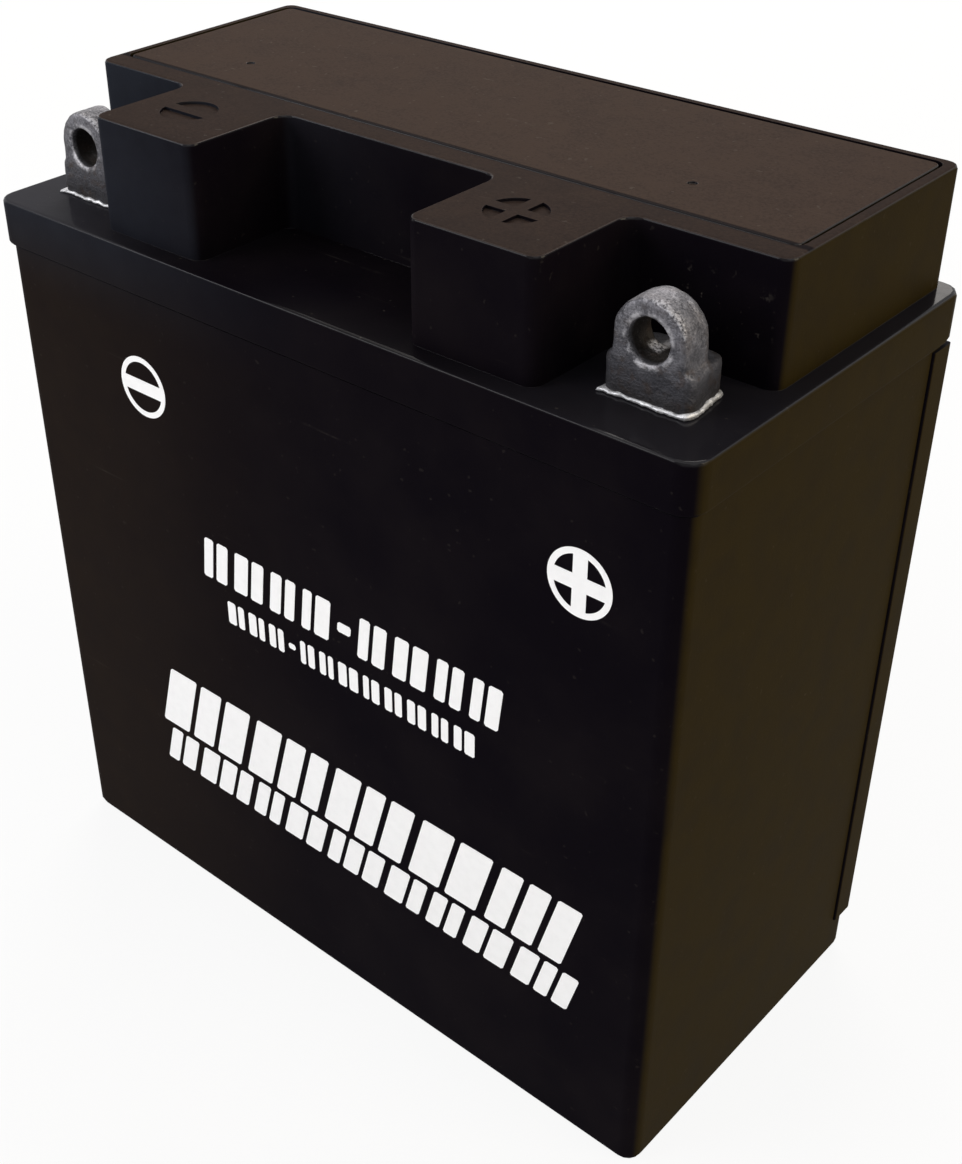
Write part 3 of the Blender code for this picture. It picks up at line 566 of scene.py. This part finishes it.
def as_mesh(data, *modifiers):
    """A new mesh from a mesh or curve after the modifiers, each given as its type and settings."""
    holder = bpy.data.objects.new("holder", data)
    scene.collection.objects.link(holder)
    for kind, settings in modifiers:
        modifier = holder.modifiers.new(kind.lower(), kind)
        for name, value in settings.items():
            setattr(modifier, name, value)
    final = holder.evaluated_get(bpy.context.evaluated_depsgraph_get())
    result = bpy.data.meshes.new_from_object(final)
    bpy.data.objects.remove(holder)
    return result


def new_piece(name, mesh, material, body=BATTERY):
    piece = bpy.data.objects.new(name, mesh)
    scene.collection.objects.link(piece)
    mesh.materials.clear()
    mesh.materials.append(material)
    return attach(piece, body)


def welded(node):
    shape = bmesh.new()
    shape.from_mesh(node.data)
    shape.transform(node.matrix_world)
    bmesh.ops.remove_doubles(shape, verts=shape.verts, dist=WELD_GAP)
    bmesh.ops.dissolve_limit(shape, angle_limit=FLAT_WITHIN, verts=shape.verts, edges=shape.edges)
    return mesh_from(shape, node.name + "_welded")


def soften(name, width, material, body):
    mesh = as_mesh(welded(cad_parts[name]),
                   ("BEVEL", {"width": width, "segments": 2, "limit_method": "ANGLE",
                              "angle_limit": SHARP, "use_clamp_overlap": True}))
    for face in mesh.polygons:
        face.use_smooth = True
    mesh.set_sharp_from_angle(angle=SHARP)
    mesh = as_mesh(mesh, ("WEIGHTED_NORMAL", {"keep_sharp": True, "weight": 90}))
    piece = new_piece(name + "_moulding", mesh, material, body)
    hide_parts(name)
    print(piece.name, "faces:", len(mesh.polygons))


soften("case", EDGE_ROUND, CASE_PLASTIC, BATTERY)
soften("lid", EDGE_ROUND, LID_PLASTIC, BATTERY)
soften("vent_cover", COVER_ROUND, COVER_PLASTIC, "vent_cover")

# %% [markdown]
# ## Cast lead lugs
#
# Each terminal is one lead casting: a rectangular foot with an upright eye for the cable's bolt. It
# is poured into a two-part mould, so its edges are soft, its skin is mottled, and a thin bright fin
# of lead is left where the mould met the lid. A box and a ring with sharp edges would look
# machined. Here both are joined by a voxel remesh, which melts them into one skin; a few rounds of
# smoothing wear the edges down, and noise pushes the skin in and out by a tenth of a millimetre.

# %% Lug sizes
FOOT_FRONT = 11.9 * MM
FOOT_BACK = 10.0 * MM
FOOT_DEPTH = 8.1 * MM
FOOT_HEIGHT = 4.9 * MM
FOOT_CORNER = 1.5 * MM
EYE_RADIUS = 4.88 * MM
EYE_THICKNESS = 4.6 * MM
EYE_ROUND = 0.95 * MM
EYE_SET_BACK = 0.1 * MM
EYE_HEIGHT = 7.65 * MM
HOLE_RADIUS = 2.68 * MM
ROUND_STEPS = 48
CORNER_STEPS = 6


def arc(x, z, radius, start, end, steps):
    """Points along an arc, with both its ends."""
    angles = [start + (end - start) * i / steps for i in range(steps + 1)]
    return [(x + radius * math.cos(angle), z + radius * math.sin(angle)) for angle in angles]


def circle(x, z, radius, steps):
    return arc(x, z, radius, 0, 2 * math.pi, steps)[:-1]


def foot_plan(x, front, grow=0.0):
    """The foot seen from above, wide in front and narrower behind, with rounded corners."""
    wide, narrow, back = FOOT_FRONT / 2 + grow, FOOT_BACK / 2 + grow, front + FOOT_DEPTH
    corners = [Vector(corner) for corner in ((x - wide, front - grow), (x + wide, front - grow),
                                             (x + narrow, back + grow), (x - narrow, back + grow))]
    plan = []
    for before, corner, after in zip(corners[-1:] + corners[:-1], corners, corners[1:] + corners[:1]):
        start = corner + (before - corner).normalized() * FOOT_CORNER
        end = corner + (after - corner).normalized() * FOOT_CORNER
        for step in range(CORNER_STEPS + 1):
            share = step / CORNER_STEPS
            plan.append(start.lerp(corner, share).lerp(corner.lerp(end, share), share))
    return plan


print("eye across (mm):", 2 * EYE_RADIUS / MM, "hole across (mm):", 2 * HOLE_RADIUS / MM)

# %% [markdown]
# A flat shape with holes is quickest as a 2D curve: its outline and its holes are closed lines, and
# Blender fills what lies between them and gives it thickness. The result is laid flat or turned to
# stand upright, and its doubled rim points are merged so that it is one closed skin.


# %% Flat shapes from outlines
def plate(name, outlines, start, end, upright=True):
    """A closed mesh from outlines: (x, z) points from y = start to end, or (x, y) and z if flat."""
    curve = bpy.data.curves.new(name + "_curve", "CURVE")
    curve.dimensions, curve.fill_mode = "2D", "BOTH"
    curve.extrude = (end - start) / 2
    for outline in outlines:
        line = curve.splines.new("POLY")
        line.points.add(len(outline) - 1)
        line.use_cyclic_u = True
        for point, (u, v) in zip(line.points, outline):
            point.co = (u, v, 0, 1)
    mesh = as_mesh(curve)
    bpy.data.curves.remove(curve)
    mesh.name = name
    shape = bmesh.new()
    shape.from_mesh(mesh)
    bmesh.ops.remove_doubles(shape, verts=shape.verts, dist=2 * WELD_GAP)
    middle = (start + end) / 2
    for vertex in shape.verts:
        u, v, w = vertex.co
        vertex.co = (u, middle - w, v) if upright else (u, v, middle + w)
    bmesh.ops.recalc_face_normals(shape, faces=shape.faces)
    shape.to_mesh(mesh)
    shape.free()
    return mesh


# %% The plain shape of a lug
def lug_blank(x, foot, front):
    centre = foot + EYE_HEIGHT
    arch = arc(x, centre, EYE_RADIUS, 0, math.pi, ROUND_STEPS)
    arch += [(x - EYE_RADIUS, foot), (x + EYE_RADIUS, foot)]
    eye = plate("lug_eye", [arch], front + EYE_SET_BACK, front + EYE_SET_BACK + EYE_THICKNESS)
    eye = as_mesh(eye, ("BEVEL", {"width": EYE_ROUND, "segments": 4, "limit_method": "ANGLE",
                                  "angle_limit": math.radians(60)}))
    foot_block = plate("lug_foot", [foot_plan(x, front)], foot, foot + FOOT_HEIGHT, upright=False)
    shape = bmesh.new()
    for part in (foot_block, eye):
        shape.from_mesh(part)
    return mesh_from(shape, "lug"), centre


def with_hole(mesh, x, centre, front):
    outline = circle(x, centre, HOLE_RADIUS, ROUND_STEPS)
    bore = plate("lug_bore", [outline], front - MM, front + FOOT_DEPTH + MM)
    cutter = bpy.data.objects.new("lug_bore", bore)
    scene.collection.objects.link(cutter)
    cut = as_mesh(mesh, ("BOOLEAN", {"operation": "DIFFERENCE", "object": cutter,
                                     "solver": "EXACT"}))
    bpy.data.objects.remove(cutter)
    return cut


# %% [markdown]
# After the melt, the skin is pushed along its own direction by noise. The noise comes from a
# fixed formula, so it is the same on every run, and an offset for each lug keeps the two from
# being twins. Every point is then held inside the CAD lug's box.


# %% Casting skin
VOXEL = 0.26 * MM
LUMPS = ((2.6, 0.11), (0.9, 0.05))  # how far across and how deep, in millimetres


def melted(mesh, factor, rounds):
    """The mesh as one skin of small cells, with its edges worn down by smoothing."""
    return as_mesh(mesh, ("REMESH", {"mode": "VOXEL", "voxel_size": VOXEL}),
                   ("SMOOTH", {"factor": factor, "iterations": rounds}))


def roughen(mesh, box, offset):
    low, high = box
    shape = bmesh.new()
    shape.from_mesh(mesh)
    shape.normal_update()
    for vertex in shape.verts:
        spot = vertex.co + Vector((offset, offset * 0.7, 0))
        lump = sum(noise.noise(spot / (across * MM)) * deep for across, deep in LUMPS)
        point = vertex.co + vertex.normal * lump * MM
        vertex.co = [min(max(point[i], low[i]), high[i]) for i in range(3)]
    for face in shape.faces:
        face.smooth = True
    shape.to_mesh(mesh)
    shape.free()


print("lumps and pimples (mm):", LUMPS)

# %% [markdown]
# The finish of a lug is laid in layers as well. Lead goes dull and dark grey in air, and a spanner
# or a cable eye rubs it bright again: here on the rim of the hole, on a burr inside it and in single
# grains. The shoulder of the arch gets a painted highlight. The wall of the hole is darkened as
# painted shade, and the lug is darker towards the foot, most where it meets the lid. The distance
# to the hole's middle is measured in hole radii, and squared, which saves a root.

# %% Lead of the lugs
LEAD_DARK = (0.036, 0.036, 0.042, 1)
LEAD_BRIGHT = (0.205, 0.200, 0.218, 1)
LEAD_RUBBED_AND_HIGHLIGHT = (0.52, 0.51, 0.53, 1)
LEAD_DARKENING = (0.022, 0.018, 0.015, 1)
LEAD_RUST = (0.050, 0.032, 0.022, 1)


class LugLead(Finish):
    """Lead that knows how far a point is from the middle of the eye, how high and how deep.

    The size of x is used, so the two lugs' finishes mirror each other.
    """

    def __init__(self, name, place, foot, front):
        super().__init__(name, metallic=0.8, specular_ior_level=0.3)
        self.patches = self.cloud(2.2 * MM, 6, 0.65)
        self.grain = self.cloud(0.30 * MM, 3, 0.7)
        self.y, self.z = self.axis("Y"), self.axis("Z")
        self.across = (self.axis("X").size() - place) / HOLE_RADIUS
        self.above = (self.z - (foot + EYE_HEIGHT)) / HOLE_RADIUS
        self.far = self.across * self.across + self.above * self.above
        self.height = self.z.between(foot + 2 * MM, foot + 11 * MM)
        self.depth = self.y.between(front + 0.5 * MM, front + 1.1 * MM)
        self.sparkle = self.grain.between(0.66, 0.74) * self.height


def round_the_hole(lead, colour):
    """A rubbed rim in front, and painted shade on the wall of the hole."""
    ring = lead.far.between(0.95, 1.1) * (1 - lead.far.between(1.35, 1.75))
    rim = ring * lead.patches.between(0.42, 0.6)
    colour = lead.tint(rim * 0.6, colour, LEAD_RUBBED_AND_HIGHLIGHT)
    # Painted shade: the wall of the hole is darkened.
    return lead.tint(lead.far.between(1.55, 1.25) * lead.depth * 0.93, colour, LEAD_DARKENING)


def down_the_foot(lead, colour, foot):
    """Brown patches, most of them low, and darker colour where the lug meets the lid."""
    rust = lead.cloud(1.4 * MM, 4, 0.6).between(0.5, 0.68) * (1 - lead.height * 0.6)
    colour = lead.tint(rust * 0.5, colour, LEAD_RUST)
    # Darker low down, where the lug meets the lid.
    low = lead.z.between(foot + 3.2 * MM, foot) * lead.patches.between(0.3, 0.62)
    return lead.tint(low * 0.8, colour, LEAD_DARKENING)


def rubbed_and_highlighted(lead, colour, front):
    """A painted highlight on the arch's shoulder, and bright metal on a burr low in the hole and in
    single grains.
    """
    right, forward, up = (lead.axis(letter, lead.facing()) for letter in "XYZ")
    # Painted highlight: the shoulder is brightened where the lead faces up, forwards and to the
    # right.
    shoulder_highlight = (up * 0.72 - forward * 0.58 + right * 0.38).between(0.74, 0.98) * lead.height
    colour = lead.tint(shoulder_highlight * lead.grain.between(0.36, 0.62) * 0.75, colour, LEAD_RUBBED_AND_HIGHLIGHT)
    inner = lead.depth * lead.y.between(front + 2.6 * MM, front + 3.2 * MM)
    low_inside = ((lead.across * -1).between(0.05, 0.3) * lead.across.between(-0.8, -0.6)
                  * (lead.above * -1).between(0.1, 0.4))
    burr = inner * lead.far.between(1.6, 1.3) * low_inside
    colour = lead.tint(burr * lead.grain.between(0.35, 0.55), colour, LEAD_RUBBED_AND_HIGHLIGHT)
    return lead.tint(lead.sparkle * 0.7, colour, LEAD_RUBBED_AND_HIGHLIGHT)


# %% The whole finish of a lug
def lug_lead(place, foot, front):
    lead = LugLead("lug_lead", place, foot, front)
    tone = (lead.patches * 0.6 + lead.grain * 0.55).between(0.36, 0.78)
    colour = lead.tint(tone * (0.22 + lead.height * 0.78), LEAD_DARK, LEAD_BRIGHT)
    colour = down_the_foot(lead, round_the_hole(lead, colour), foot)
    colour = rubbed_and_highlighted(lead, colour, front)
    lead.set(base_color=colour,
             roughness=0.60 - tone * 0.2 + lead.grain * 0.1 - lead.sparkle * 0.15)
    lead.set(normal=lead.bumps(lead.grain, 0.09 * MM, lead.bumps(lead.patches, 0.22 * MM)))
    return lead.material


lug_low, lug_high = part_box("terminal_positive")
LUG_LEAD = lug_lead((lug_low.x + lug_high.x) / 2, lug_low.z, lug_low.y)
print("lug box (mm):", [round(value / MM, 2) for value in (*lug_low, *lug_high)])


# %% Both lugs
def make_lug(side):
    node = "terminal_" + side
    low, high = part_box(node)
    x = (low.x + high.x) / 2
    mesh, centre = lug_blank(x, low.z, low.y)
    mesh = with_hole(melted(mesh, 0.7, 9), x, centre, low.y)
    mesh = melted(mesh, 0.6, 5)
    roughen(mesh, (low, high), x)
    piece = new_piece("lug_" + side, mesh, LUG_LEAD)
    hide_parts(node)
    print(piece.name, "faces:", len(mesh.polygons))


for side in ("negative", "positive"):
    make_lug(side)

# %% [markdown]
# The fin is lead that ran out along the joint between the mould and the lid. It is a crooked
# ribbon round the foot: thin, bright, and with a spur at the front left corner. It is swept step by
# step: five points at each step of the foot's outline make its profile, and noise gives the reach
# and the height of each step.


# %% Fin round the foot
FIN_HEIGHT = 0.50 * MM
FIN_REACH = 0.50 * MM
FIN_OVERLAP = 0.5 * MM
FIN_LIFT = 0.02 * MM
SPUR_REACH = 0.9 * MM
SPUR_WIDTH = 0.03
FIN_STEP = 0.3 * MM
FIN_INSET = 0.1 * MM
FIN_LEAD = cast_lead("bright_lead", (0.84, 0.84, 0.86, 1), (0.34, 0.34, 0.35, 1), 1.2 * MM)


def foot_walk(x, front):
    """Points round the foot and the way out at each of them."""
    plan = [Vector((*point, 0)) for point in foot_plan(x, front, -FIN_INSET)]
    walk = []
    for here, there in zip(plan, plan[1:] + plan[:1]):
        count = max(1, round((there - here).length / FIN_STEP))
        way = (there - here).normalized()
        out = Vector((way.y, -way.x, 0))
        if way.length > 0:
            walk += [(here.lerp(there, i / count), out) for i in range(count)]
    return walk


def fin_profile(point, out, base):
    """Five points across the ribbon: out under it to the tip, and back over its top."""
    wander = noise.noise(point / (1.7 * MM)) * 0.5 + noise.noise(point / (0.5 * MM)) * 0.25
    corner = 1 - abs(abs(out.x) - abs(out.y))
    reach = FIN_REACH * max(0.25, 0.65 + wander * 1.3 + corner * 0.5)
    front_left = (-out.x - out.y) / math.sqrt(2)
    reach += SPUR_REACH * max(0, front_left - (1 - SPUR_WIDTH)) / SPUR_WIDTH
    waves = noise.noise(point / (1.1 * MM) + Vector((7, 3, 1)))
    tall = FIN_HEIGHT * (0.8 + 0.6 * waves + max(out.x, 0) * 0.5)
    profile = ((-FIN_OVERLAP, FIN_LIFT), (reach, FIN_LIFT), (reach * 0.85, tall * 0.7),
               (reach * 0.2, tall), (-FIN_OVERLAP, tall))
    return [(point.x + out.x * away, point.y + out.y * away, base + up) for away, up in profile]


def make_fin(side):
    low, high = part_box("terminal_" + side)
    shape = bmesh.new()
    rings = [[shape.verts.new(spot) for spot in fin_profile(point, out, low.z)]
             for point, out in foot_walk((low.x + high.x) / 2, low.y)]
    for ring, following in zip(rings, rings[1:] + rings[:1]):
        for i in range(len(ring)):
            j = (i + 1) % len(ring)
            shape.faces.new((ring[i], following[i], following[j], ring[j]))
    bmesh.ops.recalc_face_normals(shape, faces=shape.faces)
    for face in shape.faces:
        face.smooth = True
    mesh = mesh_from(shape, "lug_fin_" + side)
    piece = new_piece("lug_fin_" + side, mesh, FIN_LEAD)
    print(piece.name, "faces:", len(mesh.polygons))


for side in ("negative", "positive"):
    make_fin(side)

# %% [markdown]
# ## White ink
#
# The front wall is screen printed. The two polarity marks are the usual ringed minus and plus.
# The lines of lettering below them carry names and numbers that belong to a maker, so plain
# strokes of the same height and weight stand in for them. Ink has a thickness, a little less than
# half of a sheet of paper's, so each mark is a real plate on the wall and not a drawing in the
# plastic's material. A hundredth of a millimetre is left behind it, so that the back of the ink and
# the wall never lie in one plane.

# %% Ink
INK_LIFT = 0.01 * MM
INK_THICKNESS = 0.04 * MM
CASE_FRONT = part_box("case")[0].y
INK_WHITE = (0.96, 0.96, 0.96, 1)
INK_THIN = (0.92, 0.92, 0.92, 1)
INK_PINHOLE = (0.45, 0.44, 0.43, 1)


def white_ink():
    ink = Finish("white_ink", specular_ior_level=0.35)
    thin = ink.cloud(1.6 * MM, 5, 0.6)
    weave = ink.cloud(0.22 * MM, 2, 0.5)
    holes = ink.cloud(0.5 * MM, 2, 0.6).between(0.74, 0.80)
    colour = ink.tint(thin.between(0.35, 0.8), INK_WHITE, INK_THIN)
    ink.set(base_color=ink.tint(holes * 0.25, colour, INK_PINHOLE),
            roughness=0.5 + weave * 0.15, normal=ink.bumps(weave, 0.006 * MM))
    return ink.material


WHITE_INK = white_ink()


def print_ink(name, outlines):
    mesh = plate(name, outlines, CASE_FRONT - INK_LIFT - INK_THICKNESS, CASE_FRONT - INK_LIFT)
    piece = new_piece(name, mesh, WHITE_INK)
    print(piece.name, "outlines:", len(outlines))


# %% [markdown]
# A ringed mark is a disc with windows in it: two for the minus, above and below its bar, and four
# for the plus, one in each quarter. Each window is an arc of the ring's inside, closed by straight
# lines along the bars.

# %% Polarity marks
RING_RADIUS = 4.68 * MM
RING_LINE = 0.85 * MM
BAR_HEIGHT = 2.1 * MM
RING_INSIDE = RING_RADIUS - RING_LINE
BAR_LEAN = math.asin(BAR_HEIGHT / 2 / RING_INSIDE)
RING_STEPS, WINDOW_STEPS, QUARTER_STEPS = 72, 20, 10
MINUS_PLACE = (-31.3 * MM, 93.0 * MM)
PLUS_PLACE = (45.5 * MM, 93.5 * MM)


def half_window(x, z, start):
    """The arc above or below the minus's bar."""
    return arc(x, z, RING_INSIDE, start + BAR_LEAN, start + math.pi - BAR_LEAN, WINDOW_STEPS)


def quarter_window(x, z, start):
    """A quarter's arc, and the corner where the two bars beside it meet."""
    middle = start + math.pi / 4
    corner = (x + math.copysign(BAR_HEIGHT / 2, math.cos(middle)),
              z + math.copysign(BAR_HEIGHT / 2, math.sin(middle)))
    end = start + math.pi / 2
    return arc(x, z, RING_INSIDE, start + BAR_LEAN, end - BAR_LEAN, QUARTER_STEPS) + [corner]


def minus_outlines(x, z):
    disc = circle(x, z, RING_RADIUS, RING_STEPS)
    return [disc, half_window(x, z, 0), half_window(x, z, math.pi)]


def plus_outlines(x, z):
    quarters = [quarter_window(x, z, quarter * math.pi / 2) for quarter in range(4)]
    return [circle(x, z, RING_RADIUS, RING_STEPS)] + quarters


print_ink("ink_minus", minus_outlines(*MINUS_PLACE))
print_ink("ink_plus", plus_outlines(*PLUS_PLACE))

# %% [markdown]
# Each row of strokes has the height, the length and the slant of the row it stands in for. A row is
# a list of groups, with so many strokes in each, and a group of one is a short dash. The widths of
# the strokes are picked at random, from a seed made of the length of the row's name and the number
# of its groups, so that a row comes out the same on every run.

# %% Strokes in place of lettering
PRINT_CENTRE = 6.4 * MM
WIDTH_RANGE = (0.75, 1.35)
DASH_LOW, DASH_HIGH = 0.38, 0.62
CORNER_CUT = 0.3 * MM
ROWS = (
    ("ink_upper_line", 65.4 * MM, 72.3 * MM, 56.6 * MM,
     (2, 2, 2, 2, 1, 2, 2, 2, 2), 0.75 * MM, 1.5 * MM, 0.12),
    ("ink_lower_line", 58.9 * MM, 62.8 * MM, 47.3 * MM,
     (2, 2, 2, 1, 2, 2, 2, 2, 2, 2, 2, 2), 0.5 * MM, 1.0 * MM, 0.0),
    ("ink_large_band", 31.2 * MM, 42.8 * MM, 84.6 * MM,
     (3, 3, 3, 2, 3), 1.1 * MM, 1.6 * MM, 0.28),
    ("ink_small_band", 23.2 * MM, 30.2 * MM, 84.6 * MM,
     (2, 3, 2, 2, 3, 2, 2, 2, 3), 0.8 * MM, 1.3 * MM, 0.28),
)


def stroke(left, right, low, high, base, lean, cut):
    """A stroke with cut corners, as (x, z) points, slanting about its row's base line."""
    corners = ((left + cut, low), (right - cut, low), (right, low + cut), (right, high - cut),
               (right - cut, high), (left + cut, high), (left, high - cut), (left, low + cut))
    return [(x + (z - base) * lean, z) for x, z in corners]


def stroke_row(name, low, high, length, groups, slit, space, lean):
    """Groups of strokes, with a slit between strokes and a wider space between groups."""
    tall, cut = high - low, min(CORNER_CUT, slit / 2)
    picks = random.Random(len(name) * 7 + len(groups))
    widths = [[picks.uniform(*WIDTH_RANGE) for _ in range(count)] for count in groups]
    gaps = space * (len(groups) - 1) + slit * sum(count - 1 for count in groups)
    share = (length - tall * lean - gaps) / sum(map(sum, widths))
    left, outlines = PRINT_CENTRE - length / 2, []
    for group in widths:
        bottom, top = low, high
        if len(group) == 1:
            bottom, top = low + tall * DASH_LOW, low + tall * DASH_HIGH
        for width in group:
            right = left + width * share
            outlines.append(stroke(left, right, bottom, top, low, lean, cut))
            left = right + slit
        left += space - slit
    print_ink(name, outlines)


for row in ROWS:
    stroke_row(*row)
